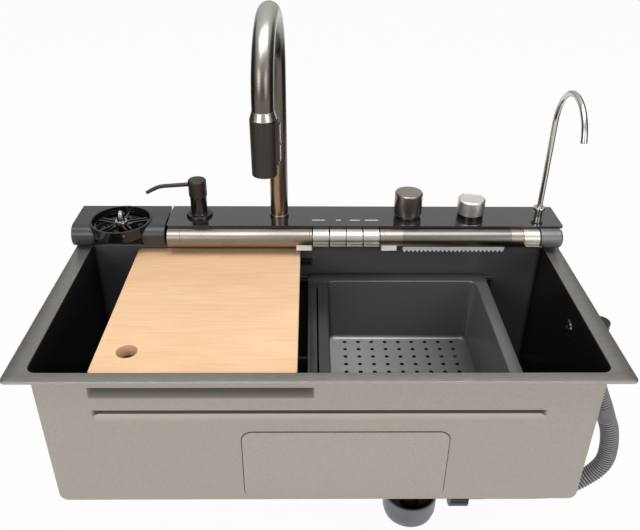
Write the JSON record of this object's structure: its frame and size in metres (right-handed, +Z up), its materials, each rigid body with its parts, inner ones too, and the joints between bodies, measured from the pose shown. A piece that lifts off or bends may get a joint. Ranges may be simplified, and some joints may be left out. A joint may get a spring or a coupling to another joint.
{
  "type": "workstation kitchen sink",
  "caption": "Deep drop-in kitchen sink with a back console holding a pull-down mixer, piano keys, waterfall outlet, cup rinser, soap pump and drinking tap, with sliding board and basket.",
  "frame": {"origin": "middle of the rim's outline, in the plane of the worktop that the rim rests on", "axes": "+X to the right along the console, +Y to the back, +Z up out of the worktop"},
  "size_m": [0.9031, 0.45, 0.8535],
  "materials": {
    "coated_steel": "dark nano-coated sheet steel, satin",
    "sound_pad": "matt sprayed bitumen pad",
    "basket_steel": "dark coated perforated sheet, satin",
    "gunmetal": "gunmetal plated, satin sheen",
    "light_gunmetal": "lighter gunmetal plated keys, satin sheen",
    "chrome": "bright chrome",
    "steel_part": "brushed stainless steel",
    "brass_part": "raw brass",
    "black_plastic": "black moulded plastic, satin",
    "glossy_black": "glossy black plastic",
    "console_glass": "dark back-painted glass, polished",
    "display_light": "lit display bars",
    "circuit": "circuit board",
    "head_bronze": "dark plated plastic, satin sheen",
    "seal_rubber": "black rubber",
    "hose_plastic": "grey ribbed plastic",
    "trap_plastic": "grey moulded plastic",
    "bottle_plastic": "translucent white plastic",
    "clip_white": "white plastic",
    "board_wood": "oiled light wood",
    "knob_steel": "turned steel, bright ring"
  },
  "bodies": {
    "sink": {"sink_bowl": "coated_steel", "sound_pads": "sound_pad", "overflow_cover": "glossy_black", "overflow_elbow": "black_plastic", "gaskets": "seal_rubber", "overflow_hose": "hose_plastic", "drain_flange": "steel_part", "drain_body": "black_plastic", "drain_locknut": "black_plastic", "trap_inlet": "black_plastic", "trap_nut": "black_plastic", "trap_cup": "trap_plastic", "trap_outlet": "trap_plastic", "deck_housing": "black_plastic", "deck_glass": "console_glass", "display_marks": "display_light", "display_module": "circuit", "rinser_housing": "coated_steel", "rinser_bowl": "glossy_black", "rinser_screw": "chrome", "key_axle": "steel_part", "front_tubes": "gunmetal", "tube_rings": "gunmetal", "tube_end_cap": "gunmetal", "tube_clips": "clip_white", "waterfall_lip": "chrome", "waterfall_duct": "black_plastic", "valve_block": "brass_part", "mixer_cartridge": "brass_part", "mixer_ring": "glossy_black", "drain_knob_ring": "glossy_black", "faucet_collar": "gunmetal", "faucet_shank": "brass_part", "soap_flange": "black_plastic", "soap_bottle": "bottle_plastic", "tap_base": "chrome", "deck_nuts": "brass_part"},
    "plug": {"pop_up_plug": "steel_part"},
    "key_1": {"key_1": "light_gunmetal"},
    "key_2": {"key_2": "light_gunmetal"},
    "key_3": {"key_3": "light_gunmetal"},
    "key_4": {"key_4": "light_gunmetal"},
    "tap_key": {"tap_key": "light_gunmetal"},
    "mixer_knob": {"mixer_knob": "gunmetal"},
    "drain_knob": {"drain_knob": "knob_steel"},
    "spout": {"faucet_spout": "gunmetal", "spray_collar": "light_gunmetal"},
    "spray": {"spray_head": "head_bronze", "spray_face": "seal_rubber", "spray_hose": "hose_plastic"},
    "toggle": {"spray_toggle": "light_gunmetal"},
    "soap_turner": {"soap_stem": "black_plastic"},
    "soap_pump": {"soap_head": "head_bronze"},
    "drinking_spout": {"tap_spout": "chrome", "tap_nozzle": "black_plastic"},
    "rinser": {"rinser_star": "glossy_black", "rinser_hub": "chrome"},
    "board": {"board": "board_wood"},
    "basket": {"basket": "basket_steel"}
  },
  "joints": [
    {"name": "spout_swivel", "type": "hinge", "parent": "sink", "child": "spout", "pos_m": [-0.065, 0.153, 0.045], "axis": [0, 0, 1], "range_deg": [-120, 120]},
    {"name": "spray_pull", "type": "slide", "parent": "spout", "child": "spray", "axis": [0, 0, -1], "range_m": [0, 0.18], "deforming": ["spray_hose"]},
    {"name": "toggle_rock", "type": "hinge", "parent": "spray", "child": "toggle", "pos_m": [-0.05388, -0.03573, 0.246], "axis": [0.0471, 0.9989, 0], "range_deg": [-3, 3], "stiffness_Nm_per_rad": 0.3},
    {"name": "key_1_press", "type": "hinge", "parent": "sink", "child": "key_1", "pos_m": [0.0036, 0.109, 0.026], "axis": [1, 0, 0], "range_deg": [0, 8], "stiffness_Nm_per_rad": 0.9, "springref_deg": -1.15},
    {"name": "key_2_press", "type": "hinge", "parent": "sink", "child": "key_2", "pos_m": [0.0311, 0.109, 0.026], "axis": [1, 0, 0], "range_deg": [0, 8], "stiffness_Nm_per_rad": 0.9, "springref_deg": -1.15},
    {"name": "key_3_press", "type": "hinge", "parent": "sink", "child": "key_3", "pos_m": [0.0581, 0.109, 0.026], "axis": [1, 0, 0], "range_deg": [0, 8], "stiffness_Nm_per_rad": 0.9, "springref_deg": -1.15},
    {"name": "key_4_press", "type": "hinge", "parent": "sink", "child": "key_4", "pos_m": [0.0854, 0.109, 0.026], "axis": [1, 0, 0], "range_deg": [0, 8], "stiffness_Nm_per_rad": 0.9, "springref_deg": -1.15},
    {"name": "tap_key_press", "type": "hinge", "parent": "sink", "child": "tap_key", "pos_m": [0.3464, 0.109, 0.026], "axis": [1, 0, 0], "range_deg": [0, 8], "stiffness_Nm_per_rad": 0.9, "springref_deg": -1.15},
    {"name": "mixer_turn", "type": "hinge", "parent": "sink", "child": "mixer_knob", "pos_m": [0.149, 0.153, 0.06], "axis": [0, 0, 1], "range_deg": [-90, 90]},
    {"name": "drain_turn", "type": "hinge", "parent": "sink", "child": "drain_knob", "pos_m": [0.254, 0.153, 0.06], "axis": [0, 0, 1], "range_deg": [0, 90]},
    {"name": "plug_lift", "type": "slide", "parent": "sink", "child": "plug", "axis": [0, 0, 1], "range_m": [0, 0.0121]},
    {"name": "soap_turn", "type": "hinge", "parent": "sink", "child": "soap_turner", "pos_m": [-0.198, 0.153, 0.06], "axis": [0, 0, 1], "range_deg": [-150, 150]},
    {"name": "soap_press", "type": "slide", "parent": "soap_turner", "child": "soap_pump", "axis": [0, 0, -1], "range_m": [0, 0.015], "stiffness_N_per_m": 400, "springref_m": -0.006},
    {"name": "tap_swivel", "type": "hinge", "parent": "sink", "child": "drinking_spout", "pos_m": [0.369, 0.153, 0.06], "axis": [0, 0, 1], "range_deg": [-90, 90]},
    {"name": "rinser_press", "type": "slide", "parent": "sink", "child": "rinser", "axis": [0, 0, -1], "range_m": [0, 0.006], "stiffness_N_per_m": 800, "springref_m": -0.002},
    {"name": "board_slide", "type": "slide", "parent": "sink", "child": "board", "axis": [1, 0, 0], "range_m": [-0.07, 0.13]},
    {"name": "basket_slide", "type": "slide", "parent": "sink", "child": "basket", "axis": [1, 0, 0], "range_m": [-0.35, 0.083]}
  ],
  "couplings": [
    {"joint": "plug_lift", "follows": "drain_turn", "m_per_rad": 0.0076394}
  ]
}
